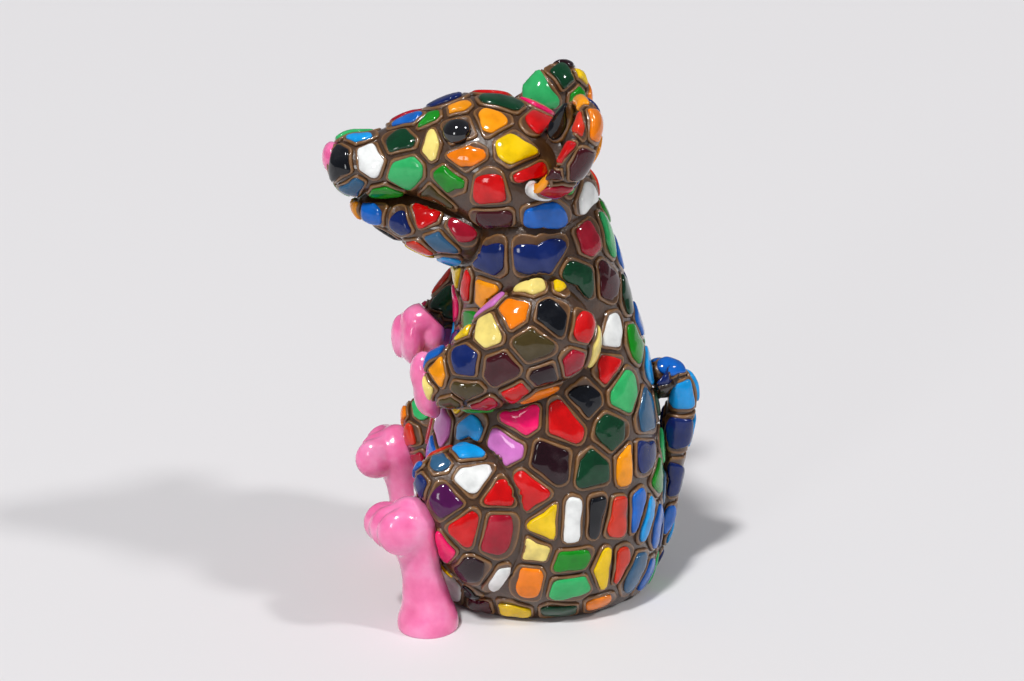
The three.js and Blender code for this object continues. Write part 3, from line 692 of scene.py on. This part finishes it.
def plaster_finish():
    """Brown plaster under varnish with an uneven tone of its own; painted shade makes it dark in the grooves and
    painted light makes it tan on the crests.
    """
    made, tree, shader = material("varnished brown plaster", Roughness=.34, Coat_Weight=.8,
                                  Coat_Roughness=.06)
    # the mesh attribute read here is the share of painted light: painted shade in the grooves, painted light on
    # the rim tops
    crest = tree.nodes.new("ShaderNodeAttribute")
    crest.attribute_name = "crest"
    blend = tree.nodes.new("ShaderNodeMath")
    blend.operation = "MULTIPLY_ADD"
    tree.links.new(noise(tree, 420, 5, .62), blend.inputs[0])
    blend.inputs[1].default_value = .55
    tree.links.new(crest.outputs["Fac"], blend.inputs[2])
    shift = tree.nodes.new("ShaderNodeMath")
    shift.operation = "MULTIPLY"
    tree.links.new(blend.outputs[0], shift.inputs[0])
    shift.inputs[1].default_value = .66
    # ramp from painted shade (near black brown) in the grooves to painted light (tan) on the rim tops; the noise
    # mixed in is the plaster's own uneven tone
    tint = ramp(tree, shift.outputs[0], [(.12, linear("#130802")), (.42, linear("#452a12")),
                                         (.66, linear("#6f4924")), (.98, linear("#8f683c"))])
    tree.links.new(tint, shader.inputs["Base Color"])
    bump(tree, shader, noise(tree, 1000, 4, .6), .7, .00022)
    return made


def paint_finish():
    made, tree, shader = material("thick pink paint", Roughness=.22, Coat_Weight=1.0, Coat_Roughness=.04,
                                  Subsurface_Weight=.12, Subsurface_Scale=.002)
    shader.inputs["Subsurface Radius"].default_value = (1.0, .45, .5)
    tint = ramp(tree, noise(tree, 210, 4), [(.28, linear("#ea5b98")), (.5, linear("#fa79b2")),
                                            (.75, linear("#ff9dcb"))])
    tree.links.new(tint, shader.inputs["Base Color"])
    bump(tree, shader, noise(tree, 420, 4, .55), .5, .0003)
    return made


def eye_finish():
    made, tree, shader = material("black glass", Roughness=.06, Coat_Weight=1.0, Coat_Roughness=.01)
    tint = ramp(tree, noise(tree, 260, 2), [(.35, linear("#050508")), (.7, linear("#12131c"))])
    tree.links.new(tint, shader.inputs["Base Color"])
    return made


def piece(name, heap_or_mesh, finish, nodes=()):
    """Puts points and faces, in millimetres, into a mesh object at the origin."""
    points, faces, crest = heap_or_mesh
    mesh = bpy.data.meshes.new(name)
    caps = faces[:, 2] == faces[:, 3]
    rows = faces[~caps].tolist() + faces[caps, :3].tolist()
    mesh.from_pydata(((points + SHIFT) * MM).tolist(), [], rows)
    mesh.update()
    # the share of painted light and painted shade, read by the plaster finish
    tint = mesh.attributes.new("crest", "FLOAT", "POINT")
    tint.data.foreach_set("value", np.asarray(crest, np.float32))
    mesh.polygons.foreach_set("use_smooth", np.ones(len(mesh.polygons), bool))
    mesh.materials.append(finish)
    made = bpy.data.objects.new(name, mesh)
    bpy.context.scene.collection.objects.link(made)
    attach(made, "root")
    if nodes:
        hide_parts(*nodes)
    return made


def gathered(heap):
    return np.vstack(heap.points), np.vstack(heap.faces), np.concatenate(heap.crest)


# ---------------------------------------------------------------- making the mosaic
PLASTER, PAINT, EYE_GLASS = plaster_finish(), paint_finish(), eye_finish()
FINISH = {name: enamel_finish(name + " enamel", colour) for name, colour in ENAMELS.items()}
HOLE = {"torso": 2.1, "head": 1.8, "lower_jaw": 1.8, "left_arm": 2.0, "right_arm": 2.0, "left_leg": 2.1,
        "right_leg": 2.1, "tail": 1.6, "left_ear": 2.3, "right_ear": 2.1}
SHELLS = {"torso": (120, 90), "head": (90, 70), "tail": (40, 90)}
fields, tiles_made = {}, []
for name, hole in HOLE.items():
    tiles = fill(name, planned(name), hole)
    heap = Heap()
    points, faces = shell(SKINS[name], CORE, *SHELLS.get(name, (64, 56)))
    # the core between the cushions gets a low share: painted shade in the grooves
    heap.add(points, faces, np.full(len(points), .35))
    for tile in tiles:
        spokes, cushion, enamel = outlines(tile, tiles)
        if cushion.mean() < .9:
            continue
        heap.add(*cushion_mesh(tile, spokes, cushion))
        if tile.colour not in BLANK and enamel.mean() > .55:
            tiles_made.append((tile, enamel_mesh(tile, spokes, enamel)))
    piece(name + "_plaster", gathered(heap), PLASTER, [name])

centres = {n: np.mean(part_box(n), axis=0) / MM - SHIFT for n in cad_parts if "_tile_" in n}
used = set()
MATCH = 6.0           # furthest that a tile may lie from the middle of the node it stands for
for node, centre in sorted(centres.items()):
    colour = node.split("_")[-1]
    far = [np.linalg.norm(tile.spot - centre) if tile.colour == colour and i not in used else 99
           for i, (tile, _) in enumerate(tiles_made)]
    k = int(np.argmin(far))
    if far[k] > MATCH:
        raise ValueError(f"no enamel near {node}")
    used.add(k)
    piece("enamel_" + node, tiles_made[k][1], FINISH[colour], [node])
for i, (tile, mesh) in enumerate(tiles_made):
    if i not in used:
        fields.setdefault(tile.colour, Heap()).add(*mesh)
for colour, heap in sorted(fields.items()):
    piece("enamel_field_" + colour, gathered(heap), FINISH[colour])

# ---------------------------------------------------------------- painted paws, nose and eyes
for side in ("left", "right"):
    for part in (side + "_hand", side + "_foot"):
        points, faces = shell(SKINS[part], 0, 96, 96)
        piece(part + "_painted", (points, faces, np.zeros(len(points))), PAINT, [part])


def ball(middle, axes):
    """A ball pulled to three half sizes along three axes: middle + axes rows times the unit sphere."""
    turn = np.arange(48) * np.pi / 24
    tilt = np.arange(1, 32)[:, None] * np.pi / 32
    parts = np.sin(tilt) * np.cos(turn), np.sin(tilt) * np.sin(turn), -np.cos(tilt)
    grid = np.stack(np.broadcast_arrays(*parts), -1)
    unit_points = np.vstack([grid.reshape(-1, 3), [[0, 0, 1], [0, 0, -1]]])
    return middle + unit_points @ axes, fan(31, 48), np.zeros(31 * 48 + 2)


for side, hand in (("left", 1), ("right", -1)):
    head = SKINS["head"]
    turn = math.pi / 2 - hand * math.radians(EYE_TURN)
    top = head.at(turn, EYE_ALONG)
    k = np.argmin(np.linalg.norm(head.points - top, axis=1))
    out, across = head.normals[k], head.across[k]
    onward = np.cross(out, across)
    axes = np.array([across, onward, out]) * np.array(EYE_HALF)[:, None]
    middle = head.at(turn, EYE_ALONG, -EYE * EYE_SINK)
    piece(f"{side}_eye_glass", ball(middle, axes), EYE_GLASS, [f"{side}_eye"])
tip = turned(np.array([0, SKULL_BACK - HEAD_LENGTH + NOSE_BACK, HEAD_LIFT + NOSE_LIFT]), -HEAD_TURN)
piece("nose_painted", ball(tip, np.diag(NOSE_HALF)), PAINT, ["nose"])

# ---------------------------------------------------------------- floor, lights and camera
grid = np.array([[x, y, 0] for x in (-1.5, 1.5) for y in (-1.5, 1.5)])
floor_mesh = bpy.data.meshes.new("floor")
floor_mesh.from_pydata(grid.tolist(), [], [(0, 2, 3, 1)])
floor = bpy.data.objects.new("floor", floor_mesh)
bpy.context.scene.collection.objects.link(floor)
floor_finish, tree, shader = material("pale floor", Roughness=.9)
shader.inputs["Base Color"].default_value = linear("#e2e0e1")
floor_mesh.materials.append(floor_finish)

AIM = np.array([-.29, -.25, 42.3])
AZ, EL, AWAY = math.radians(83), math.radians(20), 330.0
toward = np.array([math.sin(AZ) * math.cos(EL), -math.cos(AZ) * math.cos(EL), math.sin(EL)])


def look(made, place, target):
    """Puts a camera or lamp at a place, in millimetres, looking at a target."""
    made.location = Vector(place * MM)
    made.rotation_euler = Vector((target - place) * MM).to_track_quat("-Z", "Y").to_euler()
    bpy.context.scene.collection.objects.link(made)


lens = bpy.data.cameras.new("camera")
lens.lens, lens.sensor_width, lens.clip_start, lens.clip_end = 72.63, 36.0, .01, 10.0
camera = bpy.data.objects.new("camera", lens)
look(camera, AIM + toward * AWAY, AIM)
bpy.context.scene.camera = camera


def lamp(name, place, size, power, colour=(1, 1, 1)):
    light = bpy.data.lights.new(name, "AREA")
    light.shape, light.energy, light.color = "RECTANGLE", power, colour
    light.size, light.size_y = size
    look(bpy.data.objects.new(name, light), np.array(place, float), np.array([0, 0, 35.0]))


def sun(name, place, spread, power, colour=(1, 1, 1)):
    light = bpy.data.lights.new(name, "SUN")
    light.angle, light.energy, light.color = math.radians(spread), power, colour
    look(bpy.data.objects.new(name, light), np.array(place, float), np.array([0, 0, 35.0]))


sun("key", (230, -170, 520), 6, 2.3)
sun("back window", (170, 330, 420), 6, .95)
lamp("front box", (420, -330, 190), (.08, .14), .3)
world = bpy.data.worlds.new("studio")
bpy.context.scene.world = world
world.use_nodes = True
world.node_tree.nodes["Background"].inputs["Color"].default_value = (.92, .93, 1.0, 1)
world.node_tree.nodes["Background"].inputs["Strength"].default_value = .19
bpy.context.scene.view_settings.view_transform = "Standard"
